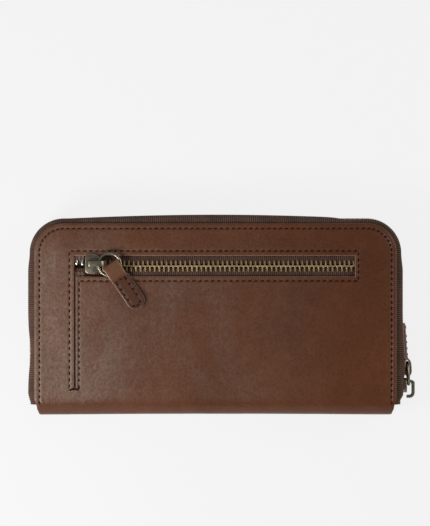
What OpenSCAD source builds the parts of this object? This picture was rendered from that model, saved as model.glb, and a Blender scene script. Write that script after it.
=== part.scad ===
// Zip around wallet, lying closed with its zipped back pocket up.
// Frame: X along the wallet, Y from the spine towards the long side of the main zip,
// Z up. The origin is the middle of the flat face that the wallet lies on.

/* [Body] */
// Length of the leather panels
panel_w = 194; // [188:1:210]
// Height of the closed wallet, from the spine to the top edge of the panels
panel_h = 102; // [96:1:112]
// Thickness of the closed wallet
thick = 25; // [25:0.5:30]
// Radius of the two rounded corners of each panel
corner_r = 16; // [12:0.5:18]
// Radius of the leather's bend into the spine
spine_r = 8; // [7:0.5:9]
// Thickness of the outer leather
leather_t = 1.3; // [1:0.1:1.5]

/* [Inside] */
// Number of card pockets on each side
card_tiers = 3; // [3:1:3]
// Thickness of one card pocket
card_t = 0.5; // [0.3:0.05:0.5]
// Thickness of the coin pocket in the middle
coin_t = 3.6; // [3.2:0.1:3.8]
// Height at which the coin pocket's zip closes
coin_top_y = 33; // [20:1:34]

/* [Zips] */
// Tooth pitch of the main zip and of the pocket zip
pitch = 2.5; // [2.4:0.1:3]
// Tooth pitch of the coin pocket's zip
coin_pitch = 2; // [1.9:0.1:2.4]
// Left end of the back pocket's window
window_x0 = -75.3; // [-78:0.5:-74]
// Right end of the back pocket's window
window_x1 = 74.5; // [66:0.5:78]
// Height of the middle of the back pocket's zip
window_y = 27.95; // [20:0.5:30]
// Width of the back pocket's window
window_h = 10.9; // [10.5:0.1:12]

/* [Pulls] */
// Radius of a pull ring, to the middle of its wire
ring_r = 5.9; // [5.5:0.1:6.2]
// Radius of the ring's wire
wire_r = 0.8; // [0.6:0.1:0.8]
// Length of a leather pull, loop and tab together
pull_l = 28.4; // [24:0.2:32]
// Width of a leather pull
pull_w = 9.2; // [8:0.2:9.4]
// Angle of the back pocket's pull, from the zip towards the spine
pull_angle = 55.8; // [40:1:60]

/* [Hidden] */
$fn = 64;

// Panels: the spine's outer face and the top edge lie evenly about the origin
half_w = panel_w / 2;
top_y = panel_h / 2;
spine_y = -panel_h / 2;
fold_y = spine_y + spine_r; // the flat part of each panel ends here
corner_x = half_w - corner_r;
corner_y = top_y - corner_r;
gap = 0.05; // between sheets that lie on each other

// Layers of the front half, from the table upwards
tape_t = 0.5;
board_t = 0.7;
lining_t = 0.3;
sheet_step = card_t + 0.15;
front_lining_z = leather_t + board_t + 2 * gap;
front_card_z = front_lining_z + lining_t + gap;

// Layers of the rear half, from its leather downwards
rear_in_z = thick - leather_t; // inner face of the rear leather
bag_h = 3;
bag_t = 0.3;
bag_z = rear_in_z - tape_t - 2 * gap - bag_h;
rear_board_z = bag_z - gap - 0.6;
rear_lining_z = rear_board_z - gap - lining_t;
rear_card_z = rear_lining_z - gap - card_t;

// Each card pocket is lower than the one behind it
function card_top(i) = 36 - 13 * i;
card_x = 90;
card_y0 = fold_y + 0.5;

// Main zip: the chain runs outside the panels, half way up the wallet
chain_out = 1.4; // chain's middle plane beyond the panel's edge
chain_z = thick / 2;
tape_edge = 1.2; // tape's edge from the middle of the chain
tape_in = 4; // how far a tape is sewn in under the leather
tape_end_y = -46;
chain_r = corner_r + chain_out;
chain_x = half_w + chain_out;
first_tooth_y = -37.2;
last_tooth_y = -41;
run_side = corner_y - first_tooth_y;
run_corner = chain_r * PI / 2;
run_top = 2 * corner_x;
run_far = corner_y - last_tooth_y;
run_all = run_side + 2 * run_corner + run_top + run_far;
main_teeth = floor(run_all / pitch);

// Back pocket's zip
pocket_z = rear_in_z - gap - tape_t / 2; // middle of its tapes and teeth
pocket_tape_x = 79;
pocket_tape_h = 9;
pocket_first_x = -67.4;
pocket_last_x = 76;
slit_w = 0.7;
slit_y0 = -37;

// Sliders: plates above and below the chain, a neck in the mouth, a crown for the ring
plate_half_l = 3.9;
plate_half_w = 5.35;
plate_t = 1.2;
plate_gap = 1.7; // plate's inner face from the middle of the chain
crown_w = 2.8;
crown_in = 5.9; // crown's underside from the middle of the chain
crown_t = 1.4;
ring_x = 3.3; // where the ring's wire passes under the crown
ring_z = 4.4;
pocket_slider_at = [-65.7, 29.2, pocket_z];
main_slider_at = [chain_x, -35.8, chain_z];
main_rise = 0.7; // the main slider's crown and ring stand this much higher
main_ring_x = -0.4; // its ring is pulled to the other end of the crown
main_pull_lean = 3.5; // the main pull leans in against the zip

// Leather pulls, measured from the fold of the loop
loop_l = 9.4;
fold_back = 0.6; // the fold lies this far behind the ring's centre
main_fold_back = 1.5;
ply = 1;
pocket_low = -2.5; // underside of a pull from the middle of the wire
main_low = -1.9;
loop_high = 2.1;

// Coin pocket
coin_z = thick / 2 - 1.8; // middle of the coin pocket
coin_x = 90;
coin_wall_t = 0.4;
coin_y0 = spine_y + leather_t + board_t + lining_t + 0.15;
coin_wall_y1 = coin_top_y - 2;
coin_run = 82;
coin_slider_x = 70;
coin_gap = 1.1;
coin_plate = 0.8;
coin_bar_y = 3.2;
coin_pin_y = 2.55;

leather_c = [0.36, 0.23, 0.18];
lining_c = [0.42, 0.36, 0.30];
board_c = [0.60, 0.55, 0.47];
tape_c = [0.20, 0.15, 0.13];
brass_c = [0.55, 0.48, 0.30];
steel_c = [0.62, 0.60, 0.52];

// ---- Outlines -------------------------------------------------------------

// Panel with two rounded corners, grown by `o` on three sides, down to height y0
module panel_2d(o, y0) {
  translate([-half_w - o, y0]) square([panel_w + 2 * o, corner_y - y0]);
  translate([-corner_x, y0]) square([2 * corner_x, top_y + o - y0]);
  for (side = [-1, 1])
    translate([side * corner_x, corner_y]) circle(r = corner_r + o);
}

// Flat sheet of the panel's outline
module sheet(o, y0, z0, t) {
  translate([0, 0, z0]) linear_extrude(t) panel_2d(o, y0);
}

// Strip that follows the panel's edge, between two offsets from it
module edge_strip(o_in, o_out, y0, z0, t) {
  translate([0, 0, z0]) linear_extrude(t) difference() {
    panel_2d(o_out, y0);
    panel_2d(o_in, y0 - 1);
  }
}

// Section drawn in Y and Z, run along X
module run_x(x0, x1) {
  translate([x0, 0, 0]) rotate([90, 0, 90]) linear_extrude(x1 - x0) children();
}

module box(x, y, z) {
  translate([x[0], y[0], z[0]]) cube([x[1] - x[0], y[1] - y[0], z[1] - z[0]]);
}

// ---- Zip parts ------------------------------------------------------------

// One tooth: a head past the middle of the chain and two legs that clamp the tape.
// Runs along X, with its tape on the +Y side.
module tooth(w, reach, over, half, slot, edge) {
  rotate([90, 0, 90]) translate([0, 0, -w / 2]) linear_extrude(w) polygon([
    [-over, 0.4 - half], [0.4 - over, -half], [reach, -half], [reach, -slot],
    [edge, -slot], [edge, slot], [reach, slot], [reach, half],
    [0.4 - over, half], [-over, half - 0.4]
  ]);
}

module big_tooth() {
  tooth(1, 3, 0.7, 1.1, 0.3, tape_edge);
}

// Puts a child on the main chain, `s` along it from its open end, outer face outwards
module on_chain(s) {
  if (s < run_side)
    translate([chain_x, first_tooth_y + s, chain_z]) rotate([90, 0, 90]) children();
  else if (s < run_side + run_corner)
    translate([corner_x, corner_y, chain_z]) rotate((s - run_side) / chain_r * 180 / PI)
      translate([chain_r, 0, 0]) rotate([90, 0, 90]) children();
  else if (s < run_side + run_corner + run_top)
    translate([corner_x + run_side + run_corner - s, top_y + chain_out, chain_z])
      rotate([90, 0, 180]) children();
  else if (s < run_side + 2 * run_corner + run_top)
    translate([-corner_x, corner_y, chain_z])
      rotate(90 + (s - run_side - run_corner - run_top) / chain_r * 180 / PI)
        translate([chain_r, 0, 0]) rotate([90, 0, 90]) children();
  else
    translate([-chain_x, corner_y + run_side + 2 * run_corner + run_top - s, chain_z])
      rotate([90, 0, -90]) children();
}

module main_teeth_row(side) {
  for (i = [0:main_teeth - 1])
    on_chain((i + (side + 1) / 4) * pitch)
      if (side > 0) big_tooth(); else mirror([0, 1, 0]) big_tooth();
}

// Small clip over one tape, just beyond the last tooth
module stop_clip(side) {
  rotate([90, 0, 90]) translate([0, 0, -0.7]) linear_extrude(1.4) polygon([
    [side * 0.9, -1], [side * 3, -1], [side * 3, -0.3], [side * 1.2, -0.3],
    [side * 1.2, 0.3], [side * 3, 0.3], [side * 3, 1], [side * 0.9, 1]
  ]);
}

module plate_2d() {
  l = plate_half_l;
  w = plate_half_w;
  polygon([
    [-l, -w + 1.6], [-l + 1.2, -w], [l - 2.4, -w], [l, -w + 2],
    [l, w - 2], [l - 2.4, w], [-l + 1.2, w], [-l, w - 1.6]
  ]);
}

// Slider in its own frame: X along the chain, Z outwards. `mouth` is the end with
// the neck, `neck_y` is the middle of the chain across the slider, and `rise` lifts the crown.
module slider(mouth, neck_y, rise) {
  x_free = plate_half_l + 2.6;
  top = crown_in + rise;
  for (z = [plate_gap, -plate_gap - plate_t])
    translate([0, 0, z]) linear_extrude(plate_t) plate_2d();
  translate([mouth * (plate_half_l - 0.85) - 0.85, neck_y - 1, -plate_gap - 0.1])
    cube([1.7, 2, 2 * plate_gap + 0.2]);
  translate([0, crown_w / 2, 0]) rotate([90, 0, 0]) linear_extrude(crown_w) polygon([
    [-2.6, plate_gap + 0.5], [-2.6, top - 0.4], [-1.2, top + crown_t],
    [x_free - 1.8, top + crown_t], [x_free, top - 0.4], [x_free, 3.4 + rise / 2],
    [x_free - 1.3, 3.4 + rise / 2], [x_free - 1.3, top - 0.8], [x_free - 2.1, top],
    [-0.8, top], [-1.4, top - 0.7], [-1.4, plate_gap + 0.5]
  ]);
}

module ring() {
  translate([ring_r, 0, 0]) rotate_extrude() translate([ring_r, 0]) circle(r = wire_r);
}

// Loop of the pull: X away from its fold, Z from the middle of the ring's wire
module pull_loop(low) {
  translate([0, pull_w / 2, 0]) rotate([90, 0, 0]) linear_extrude(pull_w) difference() {
    polygon([
      [0.8, low], [loop_l, low], [loop_l, low + 2 * ply],
      [loop_l - 0.3, loop_high - 0.6], [loop_l - 1.2, loop_high], [0.9, loop_high],
      [0, loop_high - 0.9], [0, low + 0.9]
    ]);
    polygon([
      [1.3, low + ply], [loop_l - 1, low + ply], [loop_l - 1, loop_high - ply - 0.3],
      [loop_l - 1.4, loop_high - ply], [1.3, loop_high - ply], [ply, loop_high - ply - 0.4],
      [ply, low + ply + 0.4]
    ]);
  }
}

// Stitched tab of the pull, with a round tip
module pull_tab(low) {
  translate([0, 0, low]) linear_extrude(2 * ply) {
    translate([loop_l, -pull_w / 2]) square([pull_l - pull_w / 2 - loop_l, pull_w]);
    translate([pull_l - pull_w / 2, 0]) circle(r = pull_w / 2);
  }
}

// Frames of the two sliders and of what hangs on them
module at_pocket_slider() {
  translate(pocket_slider_at) children();
}

module at_pocket_ring() {
  at_pocket_slider() translate([ring_x, -0.5, ring_z]) children();
}

module at_pocket_pull() {
  at_pocket_ring() translate([ring_r, 0, 0]) rotate(-pull_angle) translate([-fold_back, 0.3, 0])
    children();
}

module at_main_ring() {
  translate([chain_x + ring_z + main_rise, main_slider_at[1] - main_ring_x, chain_z])
    rotate([0, 0, main_pull_lean]) rotate([90, 0, 90]) children();
}

module at_main_pull() {
  at_main_ring() translate([ring_r - main_fold_back, 0, 0]) children();
}

// ---- Front half -----------------------------------------------------------

module front_leather() {
  color(leather_c) sheet(0, fold_y, 0, leather_t);
}

module front_board() {
  color(board_c) sheet(-tape_in - 0.5, fold_y, leather_t + gap, board_t);
}

module front_lining() {
  color(lining_c) sheet(-2, fold_y, front_lining_z, lining_t);
}

module front_card_pocket(i) {
  z = front_card_z + i * sheet_step;
  color(lining_c) box([-card_x, card_x], [card_y0, card_top(i)], [z, z + card_t]);
}

module main_tape_front() {
  color(tape_c) union() {
    edge_strip(-tape_in, chain_out + tape_t / 2, fold_y, leather_t + gap, tape_t);
    edge_strip(chain_out - tape_t / 2, chain_out + tape_t / 2, tape_end_y,
      leather_t + gap, chain_z - tape_edge - leather_t - gap);
  }
}

module main_teeth_front() {
  color(brass_c) main_teeth_row(-1);
}

module main_stop_front() {
  color(steel_c) translate([chain_x, -40.9, chain_z]) rotate([90, 0, 90]) stop_clip(-1);
}

module main_bottom_stop() {
  color(steel_c) translate([-chain_x, last_tooth_y - 2.4, chain_z]) rotate([90, 0, -90])
    stop_clip(-1);
}

// ---- Spine and coin pocket ------------------------------------------------

// U-shaped section of the spine, `d` inside its outer face, open towards +Y
module spine_2d(d) {
  for (z = [spine_r, thick - spine_r])
    translate([fold_y, z]) circle(r = spine_r - d);
  translate([spine_y + d, spine_r]) square([spine_r - d, thick - 2 * spine_r]);
}

module spine_leather() {
  color(leather_c) intersection() {
    run_x(-half_w, half_w) difference() {
      intersection() {
        difference() {
          spine_2d(0);
          spine_2d(leather_t);
        }
        translate([spine_y - 1, -1]) square([spine_r + 1, thick + 2]);
      }
      translate([fold_y, leather_t]) square([1, thick - 2 * leather_t]);
    }
    translate([0, 0, -1]) linear_extrude(thick + 2) polygon([
      [-half_w, fold_y + 1], [-half_w, fold_y], [-half_w + 1.5, spine_y + 3.4],
      [-half_w + 2.5, spine_y - 1], [half_w - 2.5, spine_y - 1],
      [half_w - 1.5, spine_y + 3.4], [half_w, fold_y], [half_w, fold_y + 1]
    ]);
  }
}

module spine_board() {
  y = spine_y + leather_t + gap;
  color(board_c) box([-half_w + 6, half_w - 6], [y, y + board_t], [spine_r, thick - spine_r]);
}

// Lining of the spine: follows the leather's bend on the front side and turns
// tightly under the deeper rear half
module spine_lining() {
  d = front_lining_z;
  r_front = spine_r - d;
  y_in = spine_y + d;
  r_rear = rear_lining_z + lining_t - (thick - spine_r);
  color(lining_c) run_x(-half_w + 4, half_w - 4) {
    intersection() {
      difference() {
        translate([fold_y, spine_r]) circle(r = r_front);
        translate([fold_y, spine_r]) circle(r = r_front - lining_t);
      }
      translate([y_in - 1, 0]) square([r_front + 1, spine_r]);
    }
    translate([y_in, spine_r]) square([lining_t, thick - 2 * spine_r]);
    intersection() {
      difference() {
        translate([y_in + r_rear, thick - spine_r]) circle(r = r_rear);
        translate([y_in + r_rear, thick - spine_r]) circle(r = r_rear - lining_t);
      }
      translate([y_in - 1, thick - spine_r]) square([r_rear + 1, r_rear + 1]);
    }
    translate([y_in + r_rear, rear_lining_z]) square([fold_y - y_in - r_rear, lining_t]);
  }
}

module coin_wall(side) {
  z = coin_z + side * (coin_t / 2 - coin_wall_t / 2);
  color(lining_c) box([-coin_x, coin_x], [coin_y0, coin_wall_y1],
    [z - coin_wall_t / 2, z + coin_wall_t / 2]);
}

// Gusset that closes the coin pocket's two sides and its bottom
module coin_gusset() {
  h = coin_t - 2 * coin_wall_t;
  y0 = coin_y0 + 2;
  color(lining_c) translate([0, 0, coin_z - h / 2]) linear_extrude(h) difference() {
    translate([-coin_x, y0]) square([2 * coin_x, coin_wall_y1 - y0]);
    translate([-coin_x + 0.4, y0 + 0.4]) square([2 * coin_x - 0.8, coin_wall_y1 - y0]);
  }
}

// Leather strip that covers the sewn edge of the coin zip's tape
module coin_trim(side) {
  z = coin_z + side * (coin_t / 2 + 0.55);
  color(leather_c) box([-coin_x, coin_x], [coin_wall_y1 - 7, coin_wall_y1],
    [z - 0.25, z + 0.25]);
}

module coin_tape(side) {
  out = coin_t / 2 + 0.3;
  color(tape_c) translate([0, 0, coin_z]) run_x(-coin_x, coin_x) polygon([
    [coin_wall_y1 - 6, side * (out - 0.3)], [coin_top_y - 0.15, side * (out - 0.3)],
    [coin_top_y - 0.15, side * 0.6], [coin_top_y + 0.15, side * 0.6],
    [coin_top_y + 0.15, side * out], [coin_wall_y1 - 6, side * out]
  ]);
}

module coin_teeth(side) {
  n = floor((coin_run + coin_slider_x - 2) / coin_pitch);
  color(brass_c) for (i = [0:n - 1])
    translate([coin_slider_x - 1 - (i + (side + 1) / 4) * coin_pitch, coin_top_y, coin_z])
      rotate([side * 90, 0, 0]) tooth(0.8, 1.5, 0.45, 0.8, 0.2, 0.6);
}

module coin_slider() {
  color(brass_c) translate([coin_slider_x, coin_top_y, coin_z]) {
    box([-3.6, 3.6], [coin_gap, coin_gap + coin_plate], [-2.9, 2.9]);
    box([-3.6, 3.6], [-coin_gap - coin_plate, -coin_gap], [-1.7, 1.7]);
    box([1.6, 3.6], [-coin_gap - 0.1, coin_gap + 0.1], [-0.45, 0.45]);
    translate([0, 0, -0.8]) linear_extrude(1.6) polygon([
      [-3.2, coin_gap + 0.4], [-3.2, coin_bar_y], [-2.4, coin_bar_y + 0.8],
      [2.4, coin_bar_y + 0.8], [3.2, coin_bar_y], [3.2, coin_gap + 0.4],
      [2.4, coin_gap + 0.4], [2.4, coin_bar_y - 0.2], [2.2, coin_bar_y],
      [-2.2, coin_bar_y], [-2.4, coin_bar_y - 0.2], [-2.4, coin_gap + 0.4]
    ]);
  }
}

// Metal pull of the coin zip. Its pin passes under the slider's crown.
module coin_pull() {
  color(brass_c) translate([coin_slider_x, coin_top_y + coin_pin_y, coin_z]) {
    cylinder(h = 3, r = 0.4, center = true);
    rotate([-90, 0, 0]) translate([0, 0, -0.3]) linear_extrude(0.6) difference() {
      union() {
        translate([-0.3, -2.4]) square([10.7, 4.8]);
        translate([10.4, 0]) circle(r = 2.4);
      }
      translate([0.3, -1.3]) square([3.7, 2.6]);
      translate([10.4, 0]) circle(r = 0.9);
    }
  }
}

// ---- Rear half ------------------------------------------------------------

module rear_leather() {
  color(leather_c) difference() {
    sheet(0, fold_y, rear_in_z, leather_t);
    box([window_x0, window_x1], [window_y - window_h / 2, window_y + window_h / 2],
      [rear_in_z - 1, thick + 1]);
    box([window_x0, window_x0 + slit_w], [slit_y0, window_y], [rear_in_z - 1, thick + 1]);
  }
}

module rear_board() {
  color(board_c) sheet(-tape_in - 0.5, fold_y, rear_board_z, 0.6);
}

module rear_lining() {
  color(lining_c) sheet(-2, fold_y, rear_lining_z, lining_t);
}

module rear_card_pocket(i) {
  z = rear_card_z - i * sheet_step;
  color(lining_c) box([-card_x, card_x], [card_y0, card_top(i)], [z, z + card_t]);
}

module main_tape_rear() {
  z1 = rear_in_z - gap;
  color(tape_c) union() {
    edge_strip(-tape_in, chain_out + tape_t / 2, fold_y, z1 - tape_t, tape_t);
    edge_strip(chain_out - tape_t / 2, chain_out + tape_t / 2, tape_end_y,
      chain_z + tape_edge, z1 - chain_z - tape_edge);
  }
}

module main_teeth_rear() {
  color(brass_c) main_teeth_row(1);
}

module main_stop_rear() {
  color(steel_c) translate([chain_x, -40.9, chain_z]) rotate([90, 0, 90]) stop_clip(1);
}

// Flat cloth bag behind the pocket's zip, open under the window
module pocket_bag() {
  x = pocket_tape_x - 1;
  y0 = slit_y0 - 2;
  y1 = window_y + pocket_tape_h + 1;
  color(lining_c) difference() {
    box([-x, x], [y0, y1], [bag_z, bag_z + bag_h]);
    box([-x + bag_t, x - bag_t], [y0 + bag_t, y1 - bag_t],
      [bag_z + bag_t, bag_z + bag_h - bag_t]);
    box([window_x0 + 0.2, window_x1 + 2.7], [window_y - 7, window_y + 7.6],
      [bag_z + bag_t, bag_z + bag_h + 1]);
  }
}

module pocket_tape(side) {
  y = window_y + side * (tape_edge + pocket_tape_h / 2);
  color(tape_c) box([-pocket_tape_x, pocket_tape_x], [y - pocket_tape_h / 2, y + pocket_tape_h / 2],
    [pocket_z - tape_t / 2, pocket_z + tape_t / 2]);
}

module pocket_teeth(side) {
  n = floor((pocket_last_x - pocket_first_x) / pitch);
  color(brass_c) for (i = [0:n - 1])
    translate([pocket_first_x + (i + (side + 1) / 4) * pitch, window_y, pocket_z])
      if (side > 0) big_tooth(); else mirror([0, 1, 0]) big_tooth();
}

// The two clips at the closed end of the pocket's zip, one on each side's tape,
// which lie one beside the other where the tape ends are folded
module pocket_end_stops() {
  color(steel_c) for (x = [-74.1, -71])
    translate([x, window_y - 0.3, pocket_z]) stop_clip(1);
}

// Flat bar between the two tapes just beyond the last tooth, with its wings under them
module pocket_bottom_stop() {
  color(steel_c) translate([window_x1 + 0.8, window_y, pocket_z]) {
    box([0, 1.6], [0.05 - tape_edge, tape_edge - 0.05], [-0.7, 0.25]);
    box([0, 1.6], [-3, 3], [-0.7, -0.3]);
  }
}

// ---- Pulls ----------------------------------------------------------------

module main_slider() {
  color(brass_c) translate(main_slider_at) rotate([90, 0, 90]) mirror([1, 0, 0])
    slider(1, 0, main_rise);
}

module main_ring() {
  color(brass_c) at_main_ring() ring();
}

module main_tab_loop() {
  color(leather_c) at_main_pull() pull_loop(main_low);
}

module main_tab() {
  color(leather_c) at_main_pull() pull_tab(main_low);
}

module pocket_slider() {
  color(brass_c) at_pocket_slider() slider(-1, window_y - pocket_slider_at[1], 0);
}

module pocket_ring() {
  color(brass_c) at_pocket_ring() ring();
}

module pocket_tab_loop() {
  color(leather_c) at_pocket_pull() pull_loop(pocket_low);
}

module pocket_tab() {
  color(leather_c) at_pocket_pull() pull_tab(pocket_low);
}

// ---- Assembly -------------------------------------------------------------

front_leather();
front_board();
front_lining();
front_card_pocket(0);  // front_card_pocket_1
front_card_pocket(1);  // front_card_pocket_2
front_card_pocket(2);  // front_card_pocket_3
main_tape_front();
main_teeth_front();
main_stop_front();
main_bottom_stop();
spine_leather();
spine_board();
spine_lining();
coin_wall(-1);  // coin_wall_front
coin_wall(1);  // coin_wall_rear
coin_gusset();
coin_trim(-1);  // coin_trim_front
coin_trim(1);  // coin_trim_rear
coin_tape(-1);  // coin_tape_front
coin_tape(1);  // coin_tape_rear
coin_teeth(-1);  // coin_teeth_front
coin_teeth(1);  // coin_teeth_rear
coin_slider();
coin_pull();
rear_leather();
rear_board();
rear_lining();
rear_card_pocket(0);  // rear_card_pocket_1
rear_card_pocket(1);  // rear_card_pocket_2
rear_card_pocket(2);  // rear_card_pocket_3
main_tape_rear();
main_teeth_rear();
main_stop_rear();
pocket_bag();
pocket_tape(1);  // pocket_tape_upper
pocket_tape(-1);  // pocket_tape_lower
pocket_teeth(1);  // pocket_teeth_upper
pocket_teeth(-1);  // pocket_teeth_lower
pocket_end_stops();
pocket_bottom_stop();
main_slider();
main_ring();
main_tab_loop();
main_tab();
pocket_slider();
pocket_ring();
pocket_tab_loop();
pocket_tab();
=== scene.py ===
"""Zip around wallet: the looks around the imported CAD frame.
Lengths are written in millimetres and scaled by MM."""
import math
import random

import bmesh
import bpy
import numpy as np
from mathutils import Matrix, Vector, noise


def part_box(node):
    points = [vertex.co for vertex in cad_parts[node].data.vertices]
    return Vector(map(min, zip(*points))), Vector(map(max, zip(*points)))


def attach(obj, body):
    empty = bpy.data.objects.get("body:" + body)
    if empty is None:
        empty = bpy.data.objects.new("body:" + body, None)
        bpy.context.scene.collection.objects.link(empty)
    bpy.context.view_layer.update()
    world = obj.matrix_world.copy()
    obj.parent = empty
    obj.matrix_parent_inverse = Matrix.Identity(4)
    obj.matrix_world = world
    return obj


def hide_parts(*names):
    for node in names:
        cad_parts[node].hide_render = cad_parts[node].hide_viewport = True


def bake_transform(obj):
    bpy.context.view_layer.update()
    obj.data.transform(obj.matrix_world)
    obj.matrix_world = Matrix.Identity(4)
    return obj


MM = 0.001
UP = Vector((0, 0, 1))
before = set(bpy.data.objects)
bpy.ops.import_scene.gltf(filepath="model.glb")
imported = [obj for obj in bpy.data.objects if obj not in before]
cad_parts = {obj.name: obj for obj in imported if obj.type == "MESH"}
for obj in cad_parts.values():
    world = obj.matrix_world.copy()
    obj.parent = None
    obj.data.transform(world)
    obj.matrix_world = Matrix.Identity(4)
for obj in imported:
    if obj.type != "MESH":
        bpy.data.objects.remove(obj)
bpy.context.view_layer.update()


def box_mm(node):
    """Low and high corner of a CAD node, in millimetres."""
    return [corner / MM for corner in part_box(node)]


# ---- Driving sizes, in millimetres, from the frame ----

leather_lo, leather_hi = box_mm("rear_leather")
HALF_W, TOP_Y = leather_hi.x, leather_hi.y
FOLD_Y, THICK = leather_lo.y, leather_hi.z
LEATHER_T = leather_hi.z - leather_lo.z
SPINE_Y = box_mm("spine_leather")[0].y
SPINE_R = FOLD_Y - SPINE_Y
MID_Z = THICK / 2
CORNER_R = 16.0
CORNER_X, CORNER_Y = HALF_W - CORNER_R, TOP_Y - CORNER_R
CHAIN_OUT = 1.4  # the main chain's middle plane, from the panel's edge
CHAIN_X = HALF_W + CHAIN_OUT
CHAIN_START_Y, CHAIN_END_Y = -37.2, -41.0
MAIN_SLIDER_Y, MAIN_STOP_Y, BOTTOM_STOP_Y = -35.8, -40.9, -43.4

WINDOW_X0, WINDOW_X1 = -75.3, 74.5
WINDOW_Y, WINDOW_H = 27.95, 10.9
SLIT_W, SLIT_Y0 = 0.6, -37.0
POCKET_Z = sum(corner.z for corner in box_mm("pocket_tape_upper")) / 2
POCKET_CHAIN_X, POCKET_CHAIN_L = -67.4, 143.0
POCKET_SLIDER_X, POCKET_SLIDER_Y = -65.7, 29.2
PITCH = 2.5  # of the teeth, on each side of a chain
SEAM_IN = 3.0  # perimeter stitch line from the panel's edge
SEAM_END_Y = -45.5

# ---- Camera ----

VIEW_X, VIEW_Y = -0.25, 29.6  # what the middle of the frame looks at
VIEW_H = 280.7  # height of the view at the wallet's upper face
CAMERA_D = 3000.0
SENSOR = 36.0


def new_object(name, data):
    made = bpy.data.objects.new(name, data)
    bpy.context.scene.collection.objects.link(made)
    return made


def make_camera():
    data = bpy.data.cameras.new("camera")
    data.sensor_width = SENSOR
    data.lens = SENSOR * CAMERA_D / VIEW_H
    data.clip_end = 10.0
    camera = new_object("camera", data)
    camera.location = (VIEW_X * MM, VIEW_Y * MM, (THICK + CAMERA_D) * MM)
    bpy.context.scene.camera = camera


make_camera()

# ---- Materials ----


class Shader:
    """A material's nodes, wired by name."""

    def __init__(self, name):
        self.material = bpy.data.materials.new(name)
        self.material.use_nodes = True
        self.nodes = self.material.node_tree.nodes
        self.links = self.material.node_tree.links
        self.bsdf = self.nodes["Principled BSDF"]
        coord = self.nodes.new("ShaderNodeTexCoord")
        self.coord, self.uv = coord.outputs["Object"], coord.outputs["UV"]

    def link(self, value, socket):
        if isinstance(value, bpy.types.NodeSocket):
            self.links.new(value, socket)
        elif isinstance(value, tuple) and len(value) == 3 and socket.type == "RGBA":
            socket.default_value = (*value, 1)
        else:
            socket.default_value = value

    def link_all(self, node, values):
        for key, value in values.items():
            self.link(value, node.inputs[key.replace("_", " ")])

    def node(self, kind, **values):
        made = self.nodes.new("ShaderNode" + kind)
        self.link_all(made, values)
        return made

    def stretch(self, *scale):
        return self.node("Mapping", Vector=self.coord, Scale=scale).outputs[0]

    def split(self, vector):
        return self.node("SeparateXYZ", Vector=vector).outputs

    def noise(self, scale, detail=3.0, rough=0.5, vector=None, distort=0.0):
        return self.node("TexNoise", Vector=vector or self.coord, Scale=scale, Detail=detail,
                         Roughness=rough, Distortion=distort).outputs["Fac"]

    def ramp(self, value, low, high, out_low=0.0, out_high=1.0):
        return self.node("MapRange", Value=value, From_Min=low, From_Max=high, To_Min=out_low,
                         To_Max=out_high).outputs[0]

    def math(self, kind, a, b=0.0):
        made = self.node("Math")
        made.operation = kind
        self.link(a, made.inputs[0])
        self.link(b, made.inputs[1])
        return made.outputs[0]

    def times(self, first, *rest):
        for value in rest:
            first = self.math("MULTIPLY", first, value)
        return first

    def wave(self, value, length):
        """Sine of a value, from -1 to 1, over each length."""
        return self.math("SINE", self.times(value, 2 * math.pi / length))

    def mix(self, factor, a, b):
        made = self.node("Mix")
        made.data_type = "RGBA"
        for value, i in ((factor, 0), (a, 6), (b, 7)):
            self.link(value, made.inputs[i])
        return made.outputs[2]

    def over(self, tone, colour, value, low, high, share=1.0):
        """The tone with a colour laid over it, up to a share, as the value goes from low to high."""
        return self.mix(self.ramp(value, low, high, 0.0, share), tone, colour)

    def attribute(self, name):
        made = self.node("Attribute")
        made.attribute_name = name
        return made.outputs["Fac"]

    def bump(self, layers):
        """layers: (height, distance in mm, strength), the coarsest first."""
        normal = None
        for height, distance, strength in layers:
            made = self.node("Bump", Height=height, Strength=strength, Distance=distance * MM)
            if normal is not None:
                self.link(normal, made.inputs["Normal"])
            normal = made.outputs[0]
        self.link(normal, self.bsdf.inputs["Normal"])

    def set(self, **values):
        self.link_all(self.bsdf, values)
        return self.material


def shade(colour, share):
    return tuple(share * c for c in colour)


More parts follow.
